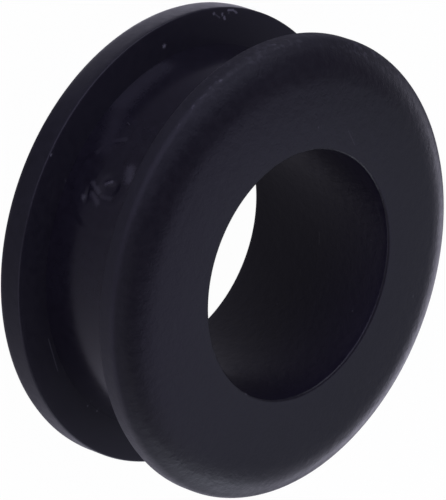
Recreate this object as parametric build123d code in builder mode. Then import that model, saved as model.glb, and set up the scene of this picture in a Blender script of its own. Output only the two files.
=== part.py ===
from build123d import *
import os

# Moulded bushing that snaps into a lever's eye and turns on a rod's pin.
# Millimetres. +Z runs along the bore from the flat back face to the domed nose.
# The origin is the centre of the back face, and +X points at the gate mark.

# Bore that runs on the pin
bore_radius = 6.0
bore_mouth_round = 0.15

# Back flange
flange_radius = 11.1
flange_thickness = 1.5
flange_back_round = 0.5
flange_front_break = 0.08
bore_back_break = 0.15

# Groove that holds the lever's eye
hub_radius = 9.35
groove_width = 5.3

# Nose flange: a short land, a shoulder that rolls in from it, and a slightly domed face
nose_radius = 11.15
nose_thickness = 2.0
nose_back_break = 0.12
nose_front_round = 0.45
shoulder_depth = 1.0
shoulder_width = 2.05
face_dome_height = 0.2

# Gate mark on the hub: a low pad with a dimple and the broken stub of the gate
gate_pad_radius = 2.25
gate_pad_height = 0.08
gate_dimple_radius = 0.8
gate_dimple_depth = 0.3
gate_dimple_edge_round = 0.12
gate_stub_radius = 0.24
gate_stub_height = 0.22
gate_stub_break = 0.08

# Heights above the back face that follow from the sizes above
groove_bottom = flange_thickness
groove_top = groove_bottom + groove_width
groove_middle = groove_bottom + groove_width / 2
overall_width = groove_top + nose_thickness
face_edge_height = overall_width - face_dome_height
land_front_height = face_edge_height - shoulder_depth
face_edge_radius = nose_radius - shoulder_width


def corner(sketch, radius, height):
    """The corner of the half section at this radius and height."""
    return sketch.vertices().sort_by_distance((radius, height))[0]


def rim_edges(part, plane, radius):
    """The edges of a round feature of this radius, drawn on the plane."""
    def is_on_rim(edge):
        distances = [Vector(plane.to_local_coords(edge @ step)) for step in (0.1, 0.4, 0.7)]
        return all(abs((place.X**2 + place.Y**2) ** 0.5 - radius) < 0.01 for place in distances)

    return part.edges().filter_by(is_on_rim)


# The half section, turned about the bore's axis
with BuildPart() as bushing:
    with BuildSketch(Plane.XZ) as half_section:
        with BuildLine() as outline:
            face = TangentArc(
                (bore_radius, overall_width), (face_edge_radius, face_edge_height), tangent=(1, 0)
            )
            shoulder = TangentArc(face @ 1, (nose_radius, land_front_height), tangent=face % 1)
            Polyline(
                shoulder @ 1,
                (nose_radius, groove_top),
                (hub_radius, groove_top),
                (hub_radius, groove_bottom),
                (flange_radius, groove_bottom),
                (flange_radius, 0),
                (bore_radius, 0),
                face @ 0,
            )
        make_face()
        rounds = (
            (bore_radius, overall_width, bore_mouth_round),
            (nose_radius, land_front_height, nose_front_round),
            (flange_radius, 0, flange_back_round),
        )
        for radius, height, round_radius in rounds:
            fillet(corner(half_section, radius, height), round_radius)
        breaks = (
            (nose_radius, groove_top, nose_back_break),
            (flange_radius, groove_bottom, flange_front_break),
            (bore_radius, 0, bore_back_break),
        )
        for radius, height, break_width in breaks:
            chamfer(corner(half_section, radius, height), break_width)
    revolve(axis=Axis.Z)

    # The pad stands a little proud of the hub and follows its curve
    gate_plane = Plane(origin=(hub_radius, 0, groove_middle), x_dir=(0, 1, 0), z_dir=(1, 0, 0))
    with BuildPart(mode=Mode.PRIVATE) as gate_pad:
        with BuildSketch(Plane.XY.offset(groove_bottom)):
            Circle(hub_radius + gate_pad_height)
            Circle(hub_radius - gate_pad_height, mode=Mode.SUBTRACT)
        extrude(amount=groove_width)
        with BuildSketch(gate_plane.offset(-gate_pad_radius)):
            Circle(gate_pad_radius)
        extrude(amount=2 * gate_pad_radius, mode=Mode.INTERSECT)
    add(gate_pad.part)

    # The dimple round the gate, with the stub left where the runner broke off
    with BuildSketch(gate_plane.offset(gate_pad_height - gate_dimple_depth)):
        Circle(gate_dimple_radius)
    extrude(amount=2 * gate_dimple_depth, mode=Mode.SUBTRACT)
    fillet(rim_edges(bushing, gate_plane, gate_dimple_radius).sort_by(Axis.X)[-1], gate_dimple_edge_round)
    with BuildSketch(gate_plane.offset(gate_pad_height - gate_dimple_depth)):
        Circle(gate_stub_radius)
    extrude(amount=gate_stub_height)
    chamfer(rim_edges(bushing, gate_plane, gate_stub_radius).sort_by(Axis.X)[-1], gate_stub_break)

bushing.part.label = "bushing"

os.makedirs("parts", exist_ok=True)
export_step(bushing.part, "parts/bushing.step")
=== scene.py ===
# Looks of a moulded shift linkage bushing. Lengths in the classes are millimetres, unless they say otherwise,
# and become metres where a mesh or a node needs them. +Z runs along the bore, from the flat back face to the
# domed nose, and +X points at the gate mark in the groove.

import logging
import math
from dataclasses import dataclass, field
from enum import Enum

import bmesh
import bpy
from mathutils import Matrix, Vector, noise


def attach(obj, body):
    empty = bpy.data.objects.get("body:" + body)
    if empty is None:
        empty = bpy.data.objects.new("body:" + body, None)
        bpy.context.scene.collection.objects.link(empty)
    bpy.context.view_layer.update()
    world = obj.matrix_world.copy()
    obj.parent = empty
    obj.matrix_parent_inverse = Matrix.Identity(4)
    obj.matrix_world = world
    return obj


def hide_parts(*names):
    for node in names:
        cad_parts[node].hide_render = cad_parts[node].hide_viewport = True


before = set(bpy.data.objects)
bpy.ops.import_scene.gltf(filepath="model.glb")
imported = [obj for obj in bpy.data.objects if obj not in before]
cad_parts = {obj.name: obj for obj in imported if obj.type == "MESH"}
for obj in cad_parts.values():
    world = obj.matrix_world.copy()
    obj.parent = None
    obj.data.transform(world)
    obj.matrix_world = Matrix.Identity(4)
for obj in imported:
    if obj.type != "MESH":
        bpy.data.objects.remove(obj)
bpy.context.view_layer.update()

# Metres in a millimetre
MM = 0.001
LOG = logging.getLogger("bushing")


class Zone(Enum):
    """The stretches of the moulding that carry a finish of their own, by material slot."""

    NOSE = 0
    HUB = 1
    LIP = 2
    BORE = 3
    BACK = 4


@dataclass(frozen=True)
class Corner:
    """One corner of the half section, and how it is rounded.

    Attributes:
        radius: Distance from the bore's axis.
        height: Distance above the back face.
        rounding: Radius of the corner's arc, or 0 for a plain corner.
        bulge: How far the middle of the wall that runs on to the next corner stands out of its chord.
    """

    radius: float
    height: float
    rounding: float
    bulge: float = 0.0


@dataclass(frozen=True)
class Lump:
    """A small smear of plastic that stands out of the gate mark, or a scar that is sunk into it.

    Attributes:
        across: Its place round the hub from the gate's centre, in millimetres.
        along: Its place along the bore's axis from the gate's centre, in millimetres.
        length: Half its length.
        width: Half its width.
        turn: Degrees from the bore's axis to its long side.
        height: How far it stands out, negative for a scar.
    """

    across: float
    along: float
    length: float
    width: float
    turn: float
    height: float

    def rise(self, across: float, along: float) -> float:
        """Height of the lump at a place round the hub and along the bore's axis."""
        turn = math.radians(self.turn)
        ahead = (along - self.along) * math.cos(turn) + (across - self.across) * math.sin(turn)
        aside = (across - self.across) * math.cos(turn) - (along - self.along) * math.sin(turn)
        return self.height * math.exp(-((ahead / self.length) ** 2) - (aside / self.width) ** 2)


@dataclass(frozen=True)
class GateMark:
    """The gate mark on the hub: a low pad, a torn ring, a dimple, and the stub where the runner broke off.

    Attributes:
        pad_radius: Radius at which the pad is half its height.
        pad_height: Height of the pad above the hub.
        pad_edge: Width over which the pad falls away.
        ring_radius: Radius of the ring's crest.
        ring_width: Half the ring's width.
        ring_height: Height of the ring above the pad, on average.
        ring_tear: Share by which the ring's height comes and goes.
        ring_tear_scale: How often it comes and goes, per millimetre.
        dimple_radius: Radius at which the dimple is half its depth.
        dimple_depth: Depth of the dimple below the pad.
        dimple_edge: Width over which the dimple rises.
        lumps: The stub, the smears and the scars.
    """

    pad_radius: float = 2.25
    pad_height: float = 0.03
    pad_edge: float = 0.4
    ring_radius: float = 0.95
    ring_width: float = 0.22
    ring_height: float = 0.012
    ring_tear: float = 0.5
    ring_tear_scale: float = 2.5
    dimple_radius: float = 0.5
    dimple_depth: float = 0.07
    dimple_edge: float = 0.5
    lumps: tuple[Lump, ...] = (
        Lump(-0.12, -0.12, 0.26, 0.14, -20, 0.1),
        Lump(-0.78, 0.82, 0.36, 0.24, 20, 0.05),
        Lump(0.3, -0.8, 0.42, 0.14, 27, 0.03),
        Lump(0.78, -0.6, 0.42, 0.14, 30, 0.03),
        Lump(0.9, -1.3, 0.16, 0.14, 0, 0.03),
        Lump(0.7, -1.12, 0.3, 0.1, 80, -0.03),
    )

    def height(self, across: float, along: float) -> float:
        """Height of the mark above the plain hub.

        Args:
            across: Distance round the hub from the gate's centre, in millimetres.
            along: Distance along the bore's axis from the gate's centre, in millimetres.

        Returns:
            The height in millimetres, negative inside the dimple.
        """
        reach = math.hypot(across, along)
        torn = 1 + self.ring_tear * noise.noise(Vector((across, along, 0)) * self.ring_tear_scale)
        pad = self.pad_height * fade(reach, self.pad_radius, self.pad_edge)
        ring = self.ring_height * torn * math.exp(-(((reach - self.ring_radius) / self.ring_width) ** 2))
        bowl = self.dimple_depth * fade(reach, self.dimple_radius, self.dimple_edge)
        return pad + ring - bowl + sum(lump.rise(across, along) for lump in self.lumps)


def fade(distance: float, edge: float, width: float) -> float:
    """Smooth step from 1 inside an edge to 0 outside it.

    Args:
        distance: Distance from the centre.
        edge: Distance at which the step is half done.
        width: Width of the step.

    Returns:
        A share between 0 and 1.
    """
    step = min(max((edge + width / 2 - distance) / width, 0.0), 1.0)
    return step * step * (3 - 2 * step)


@dataclass
class Moulding:
    """The bushing's one moulded piece: its section, turned about the bore, with the gate mark on the hub.

    Attributes:
        bore_radius: Radius of the bore.
        bore_mouth_round: Round at its mouth.
        bore_back_round: Round at its back end.
        flange_radius: Radius of the back flange.
        flange_thickness: Thickness of the back flange.
        flange_back_round: Round at its back edge.
        flange_front_round: Round at its front edge.
        hub_radius: Radius of the hub in the groove.
        groove_width: Width of the groove.
        nose_radius: Radius of the nose flange.
        nose_thickness: Height of the bore's mouth above the groove.
        nose_back_round: Round at its edge in the groove.
        nose_front_round: Round between its land and its shoulder.
        shoulder_depth: How far the shoulder rises from the land to the face.
        shoulder_width: How far the shoulder runs in towards the bore.
        face_dome_height: How far the face rises from the shoulder to the bore's mouth.
        turn_steps: Steps of the full turn.
        arc_cuts: Cuts in a bowed wall of the section.
        round_segments: Segments of a rounded corner.
        longest_wall: Longest straight piece that is left in the section.
        crease: Degrees between faces from which an edge is drawn sharp.
        wall_tolerance: How far off the hub's radius still counts as on the hub.
        gate_margin: How far past the pad the hub is divided finely.
        gate_cuts: Cuts across each face there.
        zone_gap: How far off a wall's height its faces still have its finish.
        bore_zone: How far past the bore's radius, and how far below its mouth, the bore's finish ends.
        gate: The gate mark.
    """

    bore_radius: float = 6.0
    bore_mouth_round: float = 0.15
    bore_back_round: float = 0.15
    flange_radius: float = 11.1
    flange_thickness: float = 1.5
    flange_back_round: float = 0.5
    flange_front_round: float = 0.08
    hub_radius: float = 9.35
    groove_width: float = 5.3
    nose_radius: float = 11.15
    nose_thickness: float = 2.0
    nose_back_round: float = 0.12
    nose_front_round: float = 0.45
    shoulder_depth: float = 1.0
    shoulder_width: float = 2.05
    face_dome_height: float = 0.2
    turn_steps: int = 256
    arc_cuts: int = 8
    round_segments: int = 6
    longest_wall: float = 0.3
    crease: float = 40.0
    wall_tolerance: float = 0.02
    gate_margin: float = 0.3
    gate_cuts: int = 5
    zone_gap: float = 0.01
    bore_zone: tuple[float, float] = (0.03, 0.12)
    gate: GateMark = field(default_factory=GateMark)

    @property
    def groove_top(self) -> float:
        """Height of the nose's back wall."""
        return self.flange_thickness + self.groove_width

    @property
    def groove_middle(self) -> float:
        """Height of the gate mark."""
        return self.flange_thickness + self.groove_width / 2

    @property
    def width(self) -> float:
        """Height of the bore's mouth, the highest point."""
        return self.groove_top + self.nose_thickness

    def section(self) -> list[Corner]:
        """The half section's corners, in order round it from the bore's mouth.

        Returns:
            The corners, each with the bulge of the wall that follows it.
        """
        face_radius = self.nose_radius - self.shoulder_width
        face_height = self.width - self.face_dome_height
        face_run = face_radius - self.bore_radius
        face_slope = math.atan2(self.face_dome_height, face_run)
        face_bulge = math.hypot(face_run, self.face_dome_height) / 2 * math.tan(face_slope / 2)
        shoulder_turn = math.atan2(self.shoulder_depth, self.shoulder_width) - 2 * face_slope
        shoulder_run = math.hypot(self.shoulder_depth, self.shoulder_width)
        shoulder_bulge = shoulder_run / 2 * math.tan(shoulder_turn / 2)
        return [
            Corner(self.bore_radius, self.width, self.bore_mouth_round, face_bulge),
            Corner(face_radius, face_height, 0, shoulder_bulge),
            Corner(self.nose_radius, face_height - self.shoulder_depth, self.nose_front_round),
            Corner(self.nose_radius, self.groove_top, self.nose_back_round),
            Corner(self.hub_radius, self.groove_top, 0),
            Corner(self.hub_radius, self.flange_thickness, 0),
            Corner(self.flange_radius, self.flange_thickness, self.flange_front_round),
            Corner(self.flange_radius, 0.0, self.flange_back_round),
            Corner(self.bore_radius, 0.0, self.bore_back_round),
        ]

    def build(self) -> bpy.types.Object:
        """Makes the moulding's mesh by turning its section, then raises the gate mark.

        Returns:
            The finished object, at the origin.
        """
        work = bmesh.new()
        self._draw_section(work)
        self._turn_section(work)
        self._raise_gate(work)
        self._assign_zones(work)
        for quad in work.faces:
            quad.smooth = True
        for edge in work.edges:
            edge.smooth = edge.calc_face_angle(0) < math.radians(self.crease)
        mesh = bpy.data.meshes.new("moulding")
        work.to_mesh(mesh)
        work.free()
        piece = bpy.data.objects.new("moulding", mesh)
        bpy.context.scene.collection.objects.link(piece)
        return piece

    def _draw_section(self, work: bmesh.types.BMesh) -> None:
        """Draws the half section, with its bowed walls and rounded corners.

        Args:
            work: The empty mesh that it is drawn in.
        """
        corners = self.section()
        ring = [work.verts.new((c.radius * MM, 0, c.height * MM)) for c in corners]
        walls = [work.edges.new(ends) for ends in zip(ring, ring[1:] + ring[:1])]
        work.faces.new(ring)
        for corner, wall in zip(corners, walls):
            if corner.bulge:
                self._bow(work, wall, corner.bulge * MM)
        self._round_corners(work, corners)
        LOG.info("section has %d points", len(work.verts))
        self._divide_walls(work)

    def _turn_section(self, work: bmesh.types.BMesh) -> None:
        """Turns the half section about the bore's axis into a closed shell.

        Args:
            work: The drawn section.
        """
        bmesh.ops.delete(work, geom=list(work.faces), context="FACES_ONLY")
        bmesh.ops.spin(
            work,
            geom=list(work.verts) + list(work.edges),
            cent=(0, 0, 0),
            axis=(0, 0, 1),
            angle=math.tau,
            steps=self.turn_steps,
            use_merge=True,
            use_duplicate=False,
        )
        merge_distance = 1e-7
        bmesh.ops.remove_doubles(work, verts=list(work.verts), dist=merge_distance)
        bmesh.ops.recalc_face_normals(work, faces=list(work.faces))

    def _bow(self, work: bmesh.types.BMesh, wall: bmesh.types.BMEdge, bulge: float) -> None:
        """Divides a wall of the section and bends it to an arc.

        Args:
            work: The section being drawn.
            wall: The wall, still straight.
            bulge: How far the arc's middle stands out of the wall, in metres.
        """
        start, end = (vertex.co.copy() for vertex in wall.verts)
        chord = end - start
        outward = Vector((-chord.z, 0, chord.x)).normalized()
        outward *= math.copysign(1, outward.z)
        radius = ((chord.length / 2) ** 2 + bulge**2) / (2 * bulge)
        divided = bmesh.ops.subdivide_edges(work, edges=[wall], cuts=self.arc_cuts)
        for element in divided["geom_inner"]:
            if isinstance(element, bmesh.types.BMVert):
                from_middle = (element.co - (start + end) / 2).length
                element.co += outward * (math.sqrt(radius**2 - from_middle**2) - radius + bulge)

    def _round_corners(self, work: bmesh.types.BMesh, corners: list[Corner]) -> None:
        """Rounds each corner of the section with an arc.

        Args:
            work: The section being drawn.
            corners: The corners.
        """
        for corner in [corner for corner in corners if corner.rounding]:
            place = Vector((corner.radius, 0, corner.height)) * MM
            vertex = min(work.verts, key=lambda candidate: (candidate.co - place).length)
            first, second = (edge.other_vert(vertex).co - vertex.co for edge in vertex.link_edges)
            turn = math.pi - first.angle(second)
            bmesh.ops.bevel(
                work,
                geom=[vertex],
                offset=corner.rounding * math.tan(turn / 2) * MM,
                offset_type="OFFSET",
                affect="VERTICES",
                segments=self.round_segments,
                profile=0.5,
                material=-1,
            )

    def _divide_walls(self, work: bmesh.types.BMesh) -> None:
        """Divides the long straight walls of the section.

        Args:
            work: The section being drawn.
        """
        longest = self.longest_wall * MM
        for edge in [edge for edge in work.edges if edge.calc_length() > longest]:
            cuts = int(edge.calc_length() / longest)
            bmesh.ops.subdivide_edges(work, edges=[edge], cuts=cuts)

    def _from_gate(self, place: Vector) -> tuple[float, float] | None:
        """Measures a place on the hub from the gate's centre.

        Args:
            place: The place, in metres.

        Returns:
            Its distances round the hub and along the bore's axis in millimetres, or None off the hub's wall.
        """
        place = place / MM
        if abs(math.hypot(place.x, place.y) - self.hub_radius) >= self.wall_tolerance:
            return None
        return math.atan2(place.y, place.x) * self.hub_radius, place.z - self.groove_middle

    def _raise_gate(self, work: bmesh.types.BMesh) -> None:
        """Divides the hub round the gate finely and raises the gate mark there.

        The corners of the groove stay where they are.

        Args:
            work: The turned moulding.
        """
        margin = self.gate.pad_radius + self.gate_margin
        near = set()
        for quad in work.faces:
            spot = self._from_gate(quad.calc_center_median())
            if spot and abs(spot[0]) < margin and abs(spot[1]) < margin:
                near.add(quad)
        edges = [edge for edge in work.edges if near.intersection(edge.link_faces)]
        bmesh.ops.subdivide_edges(work, edges=edges, cuts=self.gate_cuts, use_grid_fill=True)
        reach_across = margin + self.gate_margin
        reach_along = self.groove_width / 2
        for vertex in work.verts:
            spot = self._from_gate(vertex.co)
            if spot and abs(spot[0]) < reach_across and abs(spot[1]) < reach_along:
                raised = (self.hub_radius + self.gate.height(*spot)) * MM
                angle = spot[0] / self.hub_radius
                vertex.co.x = raised * math.cos(angle)
                vertex.co.y = raised * math.sin(angle)

    def _assign_zones(self, work: bmesh.types.BMesh) -> None:
        """Gives each face the finish of its stretch of the section.

        Args:
            work: The turned moulding.
        """
        off_wall = self.zone_gap
        bore_limit = self.bore_radius + self.bore_zone[0]
        bore_top = self.width - self.bore_zone[1]
        for quad in work.faces:
            middle = quad.calc_center_median() / MM
            if math.hypot(middle.x, middle.y) < bore_limit and middle.z < bore_top:
                zone = Zone.BORE
            elif middle.z > self.groove_top + off_wall:
                zone = Zone.NOSE
            elif self.flange_thickness + off_wall < middle.z < self.groove_top - off_wall:
                zone = Zone.HUB
            elif middle.z > self.flange_thickness - off_wall:
                zone = Zone.LIP
            else:
                zone = Zone.BACK
            quad.material_index = zone.value


@dataclass(frozen=True)
class Mark:
    """A scratch, a rubbed streak or a speck of dust on the moulding, or on the hub a painted highlight or
    painted reflection.

    Attributes:
        start: One end, as radius, degrees round the axis from the gate, and height.
        end: The other end, in the same way, or the same place for a speck.
        width: Half its width.
        strength: How much of the mark's colour shows, up to 1.
    """

    start: tuple[float, float, float]
    end: tuple[float, float, float]
    width: float
    strength: float

    @staticmethod
    def place(spot: tuple[float, float, float]) -> tuple[float, float, float]:
        """The place in metres of a radius, an angle and a height."""
        radius, turn, height = spot
        turn = math.radians(turn)
        return (radius * math.cos(turn) * MM, radius * math.sin(turn) * MM, height * MM)


@dataclass(frozen=True)
class Scuff:
    """A stretch of the nose's shoulder that is rubbed and flaked.

    Attributes:
        toward: Degrees round the axis from the gate to its middle.
        reach: Cosine of the angle at which it has faded out.
        inner: Radius at which it starts.
        outer: Radius at which it is full.
        strength: How much of the rubbed colour shows, up to 1.
        flake_scale: Scale of the noise that breaks it into flakes.
        flake_range: Levels of that noise at which a flake starts and is full.
    """

    toward: float
    reach: float
    inner: float
    outer: float
    strength: float
    flake_scale: float = 3800.0
    flake_range: tuple[float, float] = (0.5, 0.66)


class NodeBench:
    """Adds and joins the nodes of one node tree."""

    def __init__(self, tree: bpy.types.NodeTree) -> None:
        """Keeps the tree."""
        self.tree = tree

    def add(self, kind: str, **settings: object) -> bpy.types.Node:
        """Adds a node.

        Args:
            kind: The node's type, without its ShaderNode prefix.
            settings: The node's own settings.

        Returns:
            The node.
        """
        node = self.tree.nodes.new("ShaderNode" + kind)
        for name, value in settings.items():
            setattr(node, name, value)
        return node

    def feed(self, node: bpy.types.Node, socket: str | int, source: object) -> None:
        """Joins a socket to an output, or sets its value.

        Args:
            node: The node that is fed.
            socket: Its input.
            source: An output socket, or a plain value.
        """
        if isinstance(source, bpy.types.NodeSocket):
            self.tree.links.new(source, node.inputs[socket])
        else:
            node.inputs[socket].default_value = source

    def place(self) -> bpy.types.NodeSocket:
        """The place on the piece, in metres from the frame's origin."""
        return self.add("TexCoord").outputs["Object"]

    def level_place(self) -> bpy.types.NodeSocket:
        """The place on the piece without its height."""
        return self.vector("MULTIPLY", self.place(), (1.0, 1.0, 0.0))

    def math(self, operation: str, first: object, second: object = 0.0) -> bpy.types.NodeSocket:
        """Works out a number from two others.

        Args:
            operation: What is done.
            first: The first number or socket.
            second: The second number or socket.

        Returns:
            The output socket.
        """
        node = self.add("Math", operation=operation)
        self.feed(node, 0, first)
        self.feed(node, 1, second)
        return node.outputs["Value"]

    def vector(
        self, operation: str, first: object, second: object = (0.0, 0.0, 0.0)
    ) -> bpy.types.NodeSocket:
        """Works out a vector or a number from two vectors.

        Args:
            operation: What is done.
            first: The first vector or socket.
            second: The second vector or socket.

        Returns:
            The output socket.
        """
        node = self.add("VectorMath", operation=operation)
        self.feed(node, 0, first)
        self.feed(node, 1, second)
        return node.outputs["Value" if operation in ("DOT_PRODUCT", "LENGTH") else "Vector"]

    def ramp(self, value: object, low: object, high: object, smooth: bool = True) -> bpy.types.NodeSocket:
        """Spreads the range from low to high over 0 to 1.

        Args:
            value: The number or socket.
            low: What becomes 0.
            high: What becomes 1.
            smooth: Whether the ends are eased.

        Returns:
            The output socket.
        """
        node = self.add("MapRange", interpolation_type="SMOOTHSTEP" if smooth else "LINEAR")
        self.feed(node, "Value", value)
        self.feed(node, "From Min", low)
        self.feed(node, "From Max", high)
        return node.outputs["Result"]

    def noise(self, scale: object, detail: float, place: bpy.types.NodeSocket) -> bpy.types.NodeSocket:
        """Adds a noise pattern.

        Args:
            scale: Its scale, or a socket that gives it.
            detail: How many finer layers it has.
            place: The coordinates.

        Returns:
            The output socket.
        """
        node = self.add("TexNoise")
        self.feed(node, "Vector", place)
        self.feed(node, "Scale", scale)
        self.feed(node, "Detail", detail)
        return node.outputs["Fac"]

    def blend(self, share: object, first: object, second: object) -> bpy.types.NodeSocket:
        """Mixes two colours.

        Args:
            share: Share of the second colour.
            first: The first colour or socket.
            second: The second colour or socket.

        Returns:
            The output socket.
        """
        node = self.add("Mix", data_type="RGBA")
        self.feed(node, 0, share)
        self.feed(node, 6, first)
        self.feed(node, 7, second)
        return node.outputs[2]


class MarkGroups:
    """Shader node groups for surface effects that several finishes share.

    Attributes:
        RAGGED_SCALE: Scale of the noise that makes a mark's edge ragged.
        FADED_OUT: Distance from a mark's line at which it is gone, in ragged widths.
        FULL_CORE: Distance at which it is full, in the same, and the same share of a dust speck's size.
    """

    RAGGED_SCALE = 14000.0
    FADED_OUT = 2.4
    FULL_CORE = 0.4

    def __init__(self) -> None:
        """Builds each group once."""
        self.grain = self._mould_grain()
        self.mark = self._wear_and_highlight_mark()
        self.dust = self._fine_dust()

    @staticmethod
    def _group(
        name: str, inputs: dict[str, object], outputs: tuple[str, ...]
    ) -> tuple[NodeBench, bpy.types.Node, bpy.types.Node]:
        """Makes an empty group with its sockets.

        Args:
            name: The group's name.
            inputs: Each input's name and value, a number or a vector.
            outputs: Names of the outputs, each a number.

        Returns:
            The bench for its nodes, its input node and its output node.
        """
        group = bpy.data.node_groups.new(name, "ShaderNodeTree")
        for label, value in inputs.items():
            kind = "NodeSocketFloat" if isinstance(value, float) else "NodeSocketVector"
            socket = group.interface.new_socket(name=label, in_out="INPUT", socket_type=kind)
            socket.default_value = value
        for label in outputs:
            group.interface.new_socket(name=label, in_out="OUTPUT", socket_type="NodeSocketFloat")
        return NodeBench(group), group.nodes.new("NodeGroupInput"), group.nodes.new("NodeGroupOutput")

    def _mould_grain(self) -> bpy.types.NodeTree:
        """Fine grain and soft blotches of a moulded surface.

        Returns:
            The group, with a Grain, a Mottle and a Blotch output from 0 to 1.
        """
        spread = (0.3, 0.7)
        inputs = {"Grain Scale": 9000.0, "Mottle Scale": 2600.0, "Blotch Scale": 260.0}
        bench, source, sink = self._group("mould_grain", inputs, ("Grain", "Mottle", "Blotch"))
        place = bench.place()
        for label, detail in (("Grain", 3.0), ("Mottle", 2.0), ("Blotch", 3.0)):
            pattern = bench.noise(source.outputs[label + " Scale"], detail, place)
            bench.feed(sink, label, bench.ramp(pattern, *spread, smooth=False))
        return bench.tree

    def _wear_and_highlight_mark(self) -> bpy.types.NodeTree:
        """One scratch, rubbed streak, speck or painted highlight, broken up by noise.

        Returns:
            The group, with a Mask output from 0 to 1.
        """
        inputs = {"Start": (0.0, 0.0, 0.0), "End": (0.0, 0.0, 0.0), "Width": 0.00005, "Strength": 1.0}
        bench, source, sink = self._group("wear_and_highlight_mark", inputs, ("Mask",))
        place = bench.place()
        start = source.outputs["Start"]
        run = bench.vector("SUBTRACT", source.outputs["End"], start)
        offset = bench.vector("SUBTRACT", place, start)
        ahead = bench.vector("DOT_PRODUCT", offset, run)
        square = bench.vector("DOT_PRODUCT", run, run)
        share = bench.ramp(bench.math("DIVIDE", ahead, square), 0.0, 1.0, smooth=False)
        scaled = bench.add("VectorMath", operation="SCALE")
        bench.feed(scaled, 0, run)
        bench.feed(scaled, "Scale", share)
        aside = bench.vector("SUBTRACT", offset, scaled.outputs["Vector"])
        distance = bench.vector("LENGTH", aside)
        ragged = bench.math("MULTIPLY", bench.noise(self.RAGGED_SCALE, 2.0, place), source.outputs["Width"])
        gone = bench.math("MULTIPLY", ragged, self.FADED_OUT)
        near = bench.ramp(distance, gone, bench.math("MULTIPLY", ragged, self.FULL_CORE))
        bench.feed(sink, "Mask", bench.math("MULTIPLY", near, source.outputs["Strength"]))
        return bench.tree

    def _fine_dust(self) -> bpy.types.NodeTree:
        """Tiny pale specks, scattered thinly.

        Returns:
            The group, with a Mask output from 0 to 1.
        """
        inputs = {"Spacing Scale": 1300.0, "Speck Size": 0.09, "Share": 0.06}
        bench, source, sink = self._group("fine_dust", inputs, ("Mask",))
        place = bench.place()
        cells = bench.add("TexVoronoi")
        bench.feed(cells, "Vector", place)
        bench.feed(cells, "Scale", source.outputs["Spacing Scale"])
        pick = bench.add("SeparateColor")
        bench.feed(pick, "Color", cells.outputs["Color"])
        chosen = bench.math("LESS_THAN", pick.outputs["Red"], source.outputs["Share"])
        size = bench.math("MULTIPLY", pick.outputs["Green"], source.outputs["Speck Size"])
        speck = bench.ramp(cells.outputs["Distance"], size, bench.math("MULTIPLY", size, self.FULL_CORE))
        bench.feed(sink, "Mask", bench.math("MULTIPLY", chosen, speck))
        return bench.tree


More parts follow.
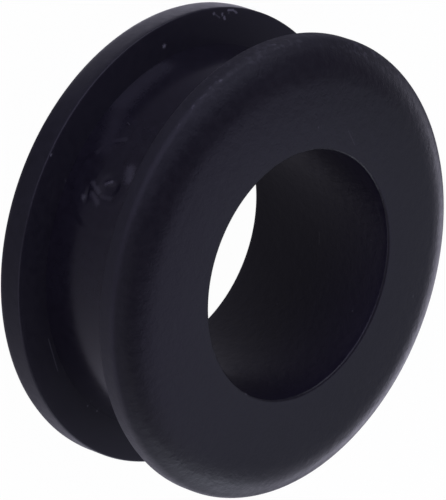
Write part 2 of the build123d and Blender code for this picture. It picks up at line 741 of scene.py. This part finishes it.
@dataclass(frozen=True)
class MouldedFinish:
    """A stretch of the black moulding: its colour, its gloss, its grain, its scratches, dust and rubbing, and
    on the hub painted highlights.

    Attributes:
        name: Name of the material.
        dark: Linear colour where the surface is clean.
        light: Linear colour where it is faintly hazed.
        roughness: Lowest and highest roughness.
        grain_depth: Height of the fine grain, in metres.
        mottle_depth: Height of the coarser unevenness, in metres.
        dust: Share of the cells that hold a speck of dust.
        marks: Single scratches and specks, and on the hub painted highlights and a painted reflection.
        scuffs: Rubbed stretches.
        matt_edge: Radii at which the edge starts to be rubbed matt and is full, and the roughness it adds.
        worn_and_highlight: Linear colour of scratches, specks, rubbed plastic and painted highlights.
        refraction: Index of refraction of the plastic.
        blotch_share: How much the soft blotches count in the haze, beside the mottle.
        haze_range: Sum of the two at which the haze starts and is full.
        dust_strength: How much of the worn colour a speck of dust shows.
        mark_roughness: Roughness that rubbed places and painted highlights have on top.
    """

    name: str
    dark: tuple[float, float, float]
    light: tuple[float, float, float]
    roughness: tuple[float, float]
    grain_depth: float = 1e-6
    mottle_depth: float = 1e-6
    dust: float = 0.03
    marks: tuple[Mark, ...] = ()
    scuffs: tuple[Scuff, ...] = ()
    matt_edge: tuple[float, float, float] = (0.0, 1.0, 0.0)
    worn_and_highlight: tuple[float, float, float] = (0.09, 0.09, 0.1)
    refraction: float = 1.4
    blotch_share: float = 0.6
    haze_range: tuple[float, float] = (0.2, 1.4)
    dust_strength: float = 0.5
    mark_roughness: float = 0.2

    def make(self, groups: MarkGroups) -> bpy.types.Material:
        """Builds the material.

        Args:
            groups: The shared shader node groups.

        Returns:
            The material.
        """
        material = bpy.data.materials.new(self.name)
        material.use_nodes = True
        bench = NodeBench(material.node_tree)
        shader = material.node_tree.nodes["Principled BSDF"]
        shader.inputs["IOR"].default_value = self.refraction
        grain = bench.add("Group", node_tree=groups.grain)
        blotch = bench.math("MULTIPLY", grain.outputs["Blotch"], self.blotch_share)
        haze = bench.math("ADD", blotch, grain.outputs["Mottle"])
        haze = bench.ramp(haze, *self.haze_range, smooth=False)
        plain = bench.blend(haze, (*self.dark, 1), (*self.light, 1))
        wear_and_highlights = self._wear_and_highlights(bench, groups)
        # The marks' colour: scratches, specks and rubbing, and on the hub also painted highlights and a
        # painted reflection.
        bench.feed(shader, "Base Color", bench.blend(wear_and_highlights, plain, (*self.worn_and_highlight, 1)))
        rough = bench.add("MapRange")
        bench.feed(rough, "Value", haze)
        bench.feed(rough, "To Min", self.roughness[0])
        bench.feed(rough, "To Max", self.roughness[1])
        radius = bench.vector("LENGTH", bench.level_place())
        inner, outer, added = self.matt_edge
        edge = bench.math("MULTIPLY", bench.ramp(radius, inner * MM, outer * MM), added)
        rubbed = bench.math("ADD", edge, bench.math("MULTIPLY", wear_and_highlights, self.mark_roughness))
        bench.feed(shader, "Roughness", bench.math("ADD", rough.outputs["Result"], rubbed))
        fine = bench.math("MULTIPLY", grain.outputs["Grain"], self.grain_depth)
        coarse = bench.math("MULTIPLY", grain.outputs["Mottle"], self.mottle_depth)
        bump = bench.add("Bump")
        bench.feed(bump, "Distance", 1.0)
        bench.feed(bump, "Height", bench.math("ADD", fine, coarse))
        bench.feed(shader, "Normal", bump.outputs["Normal"])
        return material

    def _wear_and_highlights(self, bench: NodeBench, groups: MarkGroups) -> bpy.types.NodeSocket:
        """Adds the dust, the single marks, among them painted highlights, and the rubbed stretches.

        Args:
            bench: The material's nodes.
            groups: The shared shader node groups.

        Returns:
            The output socket of their mask, from 0 to 1.
        """
        dust = bench.add("Group", node_tree=groups.dust)
        bench.feed(dust, "Share", self.dust)
        wear_and_highlights = bench.math("MULTIPLY", dust.outputs["Mask"], self.dust_strength)
        for mark in self.marks:
            node = bench.add("Group", node_tree=groups.mark)
            bench.feed(node, "Start", Mark.place(mark.start))
            bench.feed(node, "End", Mark.place(mark.end))
            bench.feed(node, "Width", mark.width * MM)
            bench.feed(node, "Strength", mark.strength)
            wear_and_highlights = bench.math("MAXIMUM", wear_and_highlights, node.outputs["Mask"])
        for scuff in self.scuffs:
            wear_and_highlights = bench.math("MAXIMUM", wear_and_highlights, self._scuffed(bench, scuff))
        return wear_and_highlights

    @staticmethod
    def _scuffed(bench: NodeBench, scuff: Scuff) -> bpy.types.NodeSocket:
        """Adds one rubbed stretch.

        Args:
            bench: The material's nodes.
            scuff: The stretch.

        Returns:
            The output socket of its mask, from 0 to 1.
        """
        level = bench.level_place()
        radius = bench.vector("LENGTH", level)
        turn = math.radians(scuff.toward)
        way = bench.vector("NORMALIZE", level)
        facing = bench.vector("DOT_PRODUCT", way, (math.cos(turn), math.sin(turn), 0.0))
        outward = bench.ramp(radius, scuff.inner * MM, scuff.outer * MM)
        where = bench.math("MULTIPLY", outward, bench.ramp(facing, scuff.reach, 1.0))
        flakes = bench.ramp(bench.noise(scuff.flake_scale, 3.0, bench.place()), *scuff.flake_range)
        return bench.math("MULTIPLY", bench.math("MULTIPLY", where, flakes), scuff.strength)


NOSE_MARKS = (
    Mark((11.13, -34.5, 7.62), (11.13, -34.1, 7.62), 0.09, 0.8),
    Mark((11.14, -17.7, 7.62), (11.14, -18.8, 7.58), 0.06, 0.3),
    Mark((11.14, -23.8, 7.6), (11.14, -24.6, 7.55), 0.07, 0.45),
    Mark((11.14, -27.2, 7.58), (11.14, -29.0, 7.62), 0.06, 0.4),
    Mark((11.14, -30.6, 7.55), (11.14, -31.2, 7.52), 0.05, 0.3),
    Mark((11.14, -52.9, 7.45), (11.14, -53.8, 7.5), 0.07, 0.45),
    Mark((11.12, 72.1, 6.85), (11.12, 73.2, 6.85), 0.12, 0.8),
    Mark((7.1, -65.4, 8.77), (7.1, -65.4, 8.77), 0.06, 0.5),
    Mark((7.1, -82.4, 8.77), (6.6, -89.0, 8.79), 0.04, 0.25),
    Mark((10.3, -79.5, 8.2), (9.6, -83.8, 8.45), 0.04, 0.25),
    Mark((8.57, -168.5, 8.66), (8.57, -168.3, 8.66), 0.07, 0.5),
    Mark((6.08, 56.2, 8.75), (6.08, 57.0, 8.75), 0.05, 0.6),
    Mark((6.08, 62.0, 8.75), (6.08, 66.5, 8.75), 0.04, 0.5),
    Mark((6.08, 87.9, 8.75), (6.08, 88.6, 8.75), 0.06, 0.8),
    Mark((6.1, 95.9, 8.75), (6.1, 97.0, 8.75), 0.04, 0.5),
    Mark((6.08, -57.0, 8.75), (6.1, -63.0, 8.75), 0.05, 0.3),
)
# Hub marks: the first is a thin line; the rest are painted highlights and a painted reflection.
HUB_MARKS_AND_HIGHLIGHTS = (
    Mark((9.35, -19.4, 3.05), (9.35, -18.9, 3.25), 0.03, 0.25),
    # Painted highlights on the stub, the smears, the torn ring and the pad's edge round the gate.
    Mark((9.4, 0.0, 3.83), (9.4, -1.3, 4.13), 0.12, 0.5),
    Mark((9.4, -6.2, 4.85), (9.4, -3.4, 5.02), 0.34, 0.3),
    Mark((9.4, 0.8, 3.08), (9.4, 2.8, 3.65), 0.16, 0.22),
    Mark((9.4, 3.8, 3.29), (9.4, 5.7, 3.79), 0.2, 0.22),
    Mark((9.4, 5.3, 2.84), (9.4, 5.7, 2.86), 0.16, 0.35),
    Mark((9.35, 3.6, 3.89), (9.35, 3.4, 4.46), 0.14, 0.14),
    Mark((9.37, -8.2, 2.5), (9.37, -11.2, 2.75), 0.2, 0.12),
    Mark((9.37, -12.6, 3.0), (9.37, -14.2, 3.6), 0.16, 0.12),
    # Painted reflection: two wide faint streaks on the hub near the back flange.
    Mark((9.35, -42.0, 1.9), (9.35, -25.0, 1.95), 0.8, 0.15),
    Mark((9.35, -23.0, 2.1), (9.35, -11.0, 2.8), 0.6, 0.1),
)
LIP_MARKS = (
    Mark((10.82, -64.7, 1.5), (10.82, -64.7, 1.5), 0.1, 0.8),
    Mark((10.78, -65.2, 1.5), (10.6, -67.0, 1.5), 0.05, 0.3),
    Mark((10.78, -67.7, 1.5), (10.72, -67.8, 1.5), 0.08, 0.9),
    Mark((10.62, -68.6, 1.5), (10.54, -68.9, 1.5), 0.09, 0.9),
    Mark((10.96, -69.6, 1.5), (10.97, -71.4, 1.5), 0.07, 0.9),
    Mark((10.93, -71.8, 1.5), (10.85, -72.9, 1.5), 0.07, 0.8),
    Mark((10.83, -70.0, 1.5), (10.83, -70.0, 1.5), 0.08, 0.3),
    Mark((10.03, -46.5, 1.5), (10.03, -46.5, 1.5), 0.13, 0.9),
    Mark((11.0, -1.6, 1.5), (11.0, -1.2, 1.5), 0.06, 0.6),
    Mark((9.42, 2.8, 1.6), (9.42, 4.4, 1.9), 0.14, 0.3),
    Mark((9.6, 50.0, 1.5), (9.7, 61.0, 1.5), 0.03, 0.3),
    Mark((9.5, 79.0, 1.5), (9.5, 79.0, 1.5), 0.06, 0.6),
    Mark((9.41, 83.5, 1.5), (9.41, 83.5, 1.5), 0.06, 0.6),
)
BORE_MARKS = (
    Mark((6.0, 207.9, 4.32), (6.0, 202.5, 4.4), 0.04, 0.5),
    Mark((6.0, 178.5, 7.55), (6.0, 178.7, 7.55), 0.05, 0.4),
    Mark((6.0, 212.6, 7.68), (6.0, 212.6, 7.68), 0.05, 0.4),
    Mark((6.0, 169.9, 3.17), (6.0, 169.9, 3.17), 0.05, 0.4),
)
NOSE_SCUFFS = (
    Scuff(-105, 0.75, 10.1, 11.0, 0.5),
    Scuff(-60, 0.7, 10.6, 11.1, 0.18),
    Scuff(-170, 0.8, 10.6, 11.1, 0.3),
)

FINISHES = {
    Zone.NOSE: MouldedFinish(
        "nose_satin",
        (0.008, 0.008, 0.012),
        (0.013, 0.013, 0.017),
        (0.32, 0.4),
        grain_depth=4e-6,
        mottle_depth=9e-6,
        dust=0.05,
        marks=NOSE_MARKS,
        scuffs=NOSE_SCUFFS,
        matt_edge=(10.4, 11.05, 0.2),
        worn_and_highlight=(0.11, 0.11, 0.12),
    ),
    Zone.HUB: MouldedFinish(
        "hub_gloss",
        (0.011, 0.01, 0.015),
        (0.015, 0.014, 0.02),
        (0.18, 0.22),
        grain_depth=0.2e-6,
        mottle_depth=0.3e-6,
        dust=0.02,
        marks=HUB_MARKS_AND_HIGHLIGHTS,
        worn_and_highlight=(0.13, 0.13, 0.14),
    ),
    Zone.LIP: MouldedFinish(
        "lip_satin",
        (0.014, 0.013, 0.02),
        (0.019, 0.018, 0.025),
        (0.48, 0.56),
        marks=LIP_MARKS,
        worn_and_highlight=(0.2, 0.2, 0.22),
    ),
    Zone.BORE: MouldedFinish(
        "bore_satin",
        (0.01, 0.008, 0.017),
        (0.014, 0.012, 0.022),
        (0.34, 0.42),
        grain_depth=2e-6,
        mottle_depth=8e-6,
        dust=0.06,
        marks=BORE_MARKS,
        worn_and_highlight=(0.12, 0.12, 0.13),
    ),
    Zone.BACK: MouldedFinish(
        "flange_satin",
        (0.011, 0.011, 0.015),
        (0.016, 0.016, 0.021),
        (0.34, 0.44),
        mottle_depth=5e-6,
        dust=0.25,
        worn_and_highlight=(0.2, 0.2, 0.21),
    ),
}


@dataclass(frozen=True)
class Softbox:
    """A square lamp that faces the bushing.

    Attributes:
        name: Name of the lamp.
        toward: Degrees round the bore's axis from the camera's side, and degrees above the floor.
        spread: Its width and height in degrees, seen from the bushing.
        level: Brightness of its face, where 1 is white.
        tint: Its linear colour.
    """

    name: str
    toward: tuple[float, float]
    spread: tuple[float, float]
    level: float
    tint: tuple[float, float, float] = (1.0, 1.0, 1.0)


@dataclass
class Studio:
    """The camera at the photograph's angle, the pale floor and the soft lamps.

    Attributes:
        picture_width: The picture's width, in pixels.
        picture_height: Its height, in pixels.
        sensor_width: Width of the camera's sensor.
        focal_pixels: Focal length, in pixels.
        clip: Nearest and farthest distance that the camera sees, in metres.
        target_pixel: Where the target lies in the picture.
        target_height: Height of the target on the bore's axis.
        target_distance: Distance from the camera to the target.
        axis_from_view: Degrees from the camera's line of sight to the bore's axis.
        axis_turn: Degrees that the bore's axis is turned in the picture.
        gate_turn: Degrees from the gate mark to the camera's side of the hub.
        world_level: Level of the room's even light.
        world_tint: Its linear colour.
        aim_height: Height on the bore's axis that the lamps face.
        floor_gap: How far the floor lies below the back face.
        floor_half: Half the floor's width.
        floor_grey: Linear grey of the floor.
        floor_roughness: Roughness of the floor.
        floor_white: Share of white that the camera sees in the floor, and its level.
        glow_tint: Linear colour of the painted glow that the floor shows only to reflections.
        glow_level: Level of the glow that rises to one side.
        glow_toward: Degrees to its brightest side, counted as for the lamps.
        glow_reach: Distances that way at which it starts and is full.
        glow_falloff: Power of its rise.
        far_glow_level: Level of the glow further out, all round.
        far_glow_reach: Distances at which that starts and is full.
        edge_glow_level: Level of the glow beside the back flange.
        edge_glow_toward: Degrees to its middle, counted as for the lamps.
        edge_glow_start: Distance at which it begins.
        edge_glow_reach: Distances at which it is gone and is full.
        edge_glow_spread: Cosines of the angles at which it is gone and is full.
        softbox_distance: Distance of the lamps.
        softboxes: The lamps.
    """

    picture_width: float = 446.0
    picture_height: float = 500.0
    sensor_width: float = 36.0
    focal_pixels: float = 5858.0
    clip: tuple[float, float] = (0.01, 10.0)
    target_pixel: tuple[float, float] = (174.0, 230.9)
    target_height: float = 0.5
    target_distance: float = 277.5
    axis_from_view: float = 49.0738
    axis_turn: float = 19.4978
    gate_turn: float = 5.9
    world_level: float = 0.11
    world_tint: tuple[float, float, float] = (1.0, 0.8, 1.2)
    aim_height: float = 4.4
    floor_gap: float = 0.02
    floor_half: float = 600.0
    floor_grey: float = 0.25
    floor_roughness: float = 0.9
    floor_white: tuple[float, float] = (0.9, 1.09)
    glow_tint: tuple[float, float, float] = (0.97, 0.94, 1.14)
    glow_level: float = 1.05
    glow_toward: float = 122.0
    glow_reach: tuple[float, float] = (-22.0, 24.0)
    glow_falloff: float = 2.2
    far_glow_level: float = 0.2
    far_glow_reach: tuple[float, float] = (13.5, 19.0)
    edge_glow_level: float = 0.8
    edge_glow_toward: float = -85.0
    edge_glow_start: float = 10.9
    edge_glow_reach: tuple[float, float] = (12.7, 11.6)
    edge_glow_spread: tuple[float, float] = (0.3, 0.95)
    softbox_distance: float = 70.0
    softboxes: tuple[Softbox, ...] = (
        Softbox("front_low", (338, 13), (60, 26), 1.33, (0.88, 0.82, 1.3)),
        Softbox("left_low", (282, 15.5), (44, 31), 1.2, (0.91, 0.92, 1.17)),
        Softbox("left_high", (310, 40), (50, 26), 0.55, (0.86, 0.88, 1.26)),
        Softbox("far_left", (272, 34), (24, 24), 0.3, (0.88, 0.95, 1.17)),
        Softbox("right_low", (50, 13), (45, 26), 0.75, (0.88, 0.82, 1.3)),
        Softbox("right_high", (50, 38), (60, 26), 0.3, (1.0, 1.05, 0.95)),
        Softbox("bottom_low", (122, 13), (45, 26), 1.45, (0.91, 0.96, 1.13)),
        Softbox("bottom_high", (112, 40), (40, 26), 0.18, (0.91, 0.96, 1.13)),
        Softbox("back_high", (160, 62), (52, 32), 0.52, (0.88, 0.86, 1.26)),
        Softbox("back_middle", (172, 38), (56, 24), 0.32, (0.87, 0.98, 1.15)),
        Softbox("back_low", (190, 13), (90, 26), 0.16, (0.88, 1.0, 1.12)),
    )

    def axes(self) -> tuple[Vector, Vector, Vector]:
        """The camera's right, up and backward directions in the bushing's frame.

        Returns:
            Three unit vectors.
        """
        tilt, turn = math.radians(self.axis_from_view), math.radians(self.axis_turn)
        axis = Vector((math.sin(tilt) * math.cos(turn), -math.sin(tilt) * math.sin(turn), math.cos(tilt)))
        facing = Vector((-math.cos(tilt) * math.cos(turn), math.cos(tilt) * math.sin(turn), math.sin(tilt)))
        side = axis.cross(facing)
        gate = math.radians(self.gate_turn)
        facing_in_frame = Vector((math.cos(gate), math.sin(gate), 0))
        side_in_frame = Vector((-math.sin(gate), math.cos(gate), 0))
        up_in_frame = Vector((0, 0, 1))
        return tuple(
            facing[i] * facing_in_frame + side[i] * side_in_frame + axis[i] * up_in_frame for i in range(3)
        )

    def place_camera(self) -> bpy.types.Object:
        """Makes the camera.

        Returns:
            The camera object.
        """
        right, up, back = self.axes()
        across = (self.target_pixel[0] - self.picture_width / 2) / self.focal_pixels * self.target_distance
        above = (self.picture_height / 2 - self.target_pixel[1]) / self.focal_pixels * self.target_distance
        target = Vector((0, 0, self.target_height))
        place = (target - across * right - above * up + self.target_distance * back) * MM
        lens = bpy.data.cameras.new("camera")
        lens.sensor_fit = "HORIZONTAL"
        lens.sensor_width = self.sensor_width
        lens.lens = self.sensor_width * self.focal_pixels / self.picture_width
        lens.clip_start, lens.clip_end = self.clip
        camera = bpy.data.objects.new("camera", lens)
        turned = Matrix((right, up, back)).transposed().to_4x4()
        camera.matrix_world = Matrix.Translation(place) @ turned
        bpy.context.scene.collection.objects.link(camera)
        bpy.context.scene.camera = camera
        return camera

    def light(self) -> None:
        """Makes the softboxes and the even light of the room."""
        self._hang_softboxes()
        self._light_room()

    def _hang_softboxes(self) -> None:
        """Makes the lamps, each facing the bushing and unseen by the camera."""
        centre = Vector((0, 0, self.aim_height))
        for box in self.softboxes:
            round_axis = math.radians(box.toward[0] + self.gate_turn)
            above = math.radians(box.toward[1])
            toward = Vector((math.cos(round_axis), math.sin(round_axis), math.tan(above))).normalized()
            lamp = bpy.data.lights.new(box.name, "AREA")
            lamp.shape = "RECTANGLE"
            lamp.size, lamp.size_y = (
                2 * self.softbox_distance * MM * math.tan(math.radians(angle / 2)) for angle in box.spread
            )
            lamp.energy = box.level * math.pi * lamp.size * lamp.size_y
            lamp.color = box.tint
            holder = bpy.data.objects.new(box.name, lamp)
            place = Matrix.Translation((centre + toward * self.softbox_distance) * MM)
            holder.matrix_world = place @ toward.to_track_quat("Z", "Y").to_matrix().to_4x4()
            holder.visible_camera = False
            bpy.context.scene.collection.objects.link(holder)

    def _light_room(self) -> None:
        """Makes the room: an even light, and white to the camera."""
        world = bpy.data.worlds.new("room")
        world.use_nodes = True
        tree = world.node_tree
        room = tree.nodes["Background"]
        room.inputs["Color"].default_value = (*self.world_tint, 1)
        room.inputs["Strength"].default_value = self.world_level
        white = tree.nodes.new("ShaderNodeBackground")
        white.inputs["Color"].default_value = (1, 1, 1, 1)
        path = tree.nodes.new("ShaderNodeLightPath")
        mix = tree.nodes.new("ShaderNodeMixShader")
        tree.links.new(path.outputs["Is Camera Ray"], mix.inputs["Fac"])
        tree.links.new(room.outputs["Background"], mix.inputs[1])
        tree.links.new(white.outputs["Background"], mix.inputs[2])
        tree.links.new(mix.outputs["Shader"], tree.nodes["World Output"].inputs["Surface"])
        bpy.context.scene.world = world

    def lay_floor(self) -> bpy.types.Object:
        """Makes the pale floor that the bushing stands on.

        Returns:
            The floor object.
        """
        work = bmesh.new()
        under = Matrix.Translation((0, 0, -self.floor_gap * MM))
        bmesh.ops.create_grid(work, x_segments=1, y_segments=1, size=self.floor_half * MM, matrix=under)
        mesh = bpy.data.meshes.new("floor")
        work.to_mesh(mesh)
        work.free()
        floor = bpy.data.objects.new("floor", mesh)
        bpy.context.scene.collection.objects.link(floor)
        mesh.materials.append(self._floor_finish())
        return floor

    def _floor_finish(self) -> bpy.types.Material:
        """Pale floor: white to the camera, and brighter in places to what mirrors it.

        Returns:
            The material.
        """
        material = bpy.data.materials.new("pale_floor")
        material.use_nodes = True
        tree = material.node_tree
        bench = NodeBench(tree)
        shader = tree.nodes["Principled BSDF"]
        shader.inputs["Base Color"].default_value = (self.floor_grey, self.floor_grey, self.floor_grey, 1)
        shader.inputs["Roughness"].default_value = self.floor_roughness
        path = bench.add("LightPath").outputs
        glow = bench.add("Emission")
        bench.feed(glow, "Color", (*self.glow_tint, 1))
        # Painted glow: the floor emits this only to glossy rays, so only the bushing's reflections see it.
        bench.feed(glow, "Strength", bench.math("MULTIPLY", self._glow(bench), path["Is Glossy Ray"]))
        both = bench.add("AddShader")
        bench.feed(both, 0, shader.outputs["BSDF"])
        bench.feed(both, 1, glow.outputs["Emission"])
        white = bench.add("Emission")
        bench.feed(white, "Strength", self.floor_white[1])
        seen = bench.add("MixShader")
        bench.feed(seen, 0, bench.math("MULTIPLY", path["Is Camera Ray"], self.floor_white[0]))
        bench.feed(seen, 1, both.outputs["Shader"])
        bench.feed(seen, 2, white.outputs["Emission"])
        bench.feed(tree.nodes["Material Output"], "Surface", seen.outputs["Shader"])
        return material

    def _glow(self, bench: NodeBench) -> bpy.types.NodeSocket:
        """Painted glow that the floor shows only to reflections, in place of light it throws back: more
        towards one side, further out, and beside the back flange.

        Args:
            bench: The floor material's nodes.

        Returns:
            The output socket of its level.
        """
        place = bench.place()
        distance = bench.vector("LENGTH", place)
        way = bench.vector("NORMALIZE", place)
        along = bench.vector("DOT_PRODUCT", place, self._level_way(self.glow_toward))
        low, high = (reach * MM for reach in self.glow_reach)
        side = bench.math("POWER", bench.ramp(along, low, high, smooth=False), self.glow_falloff)
        low, high = (reach * MM for reach in self.far_glow_reach)
        far = bench.ramp(distance, low, high)
        low, high = (reach * MM for reach in self.edge_glow_reach)
        facing = bench.vector("DOT_PRODUCT", way, self._level_way(self.edge_glow_toward))
        beside = bench.ramp(facing, *self.edge_glow_spread)
        edge = bench.math("MULTIPLY", bench.ramp(distance, low, high), beside)
        edge = bench.math("MULTIPLY", edge, bench.math("GREATER_THAN", distance, self.edge_glow_start * MM))
        total = bench.math("MULTIPLY", side, self.glow_level)
        total = bench.math("ADD", total, bench.math("MULTIPLY", far, self.far_glow_level))
        return bench.math("ADD", total, bench.math("MULTIPLY", edge, self.edge_glow_level))

    def _level_way(self, turn: float) -> tuple[float, float, float]:
        """Level direction at an angle in degrees round the bore's axis from the camera's side."""
        turn = math.radians(turn + self.gate_turn)
        return (math.cos(turn), math.sin(turn), 0.0)


def main() -> None:
    """Builds the bushing and its studio, and reports each piece."""
    logging.basicConfig(level=logging.INFO)
    bpy.context.scene.view_settings.view_transform = "Standard"
    studio = Studio()
    studio.place_camera()
    piece = Moulding().build()
    groups = MarkGroups()
    for zone in Zone:
        piece.data.materials.append(FINISHES[zone].make(groups))
    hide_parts("bushing")
    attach(piece, "root")
    LOG.info("%s: %d faces", piece.name, len(piece.data.polygons))
    studio.light()
    studio.lay_floor()


if __name__ == "__main__":
    main()
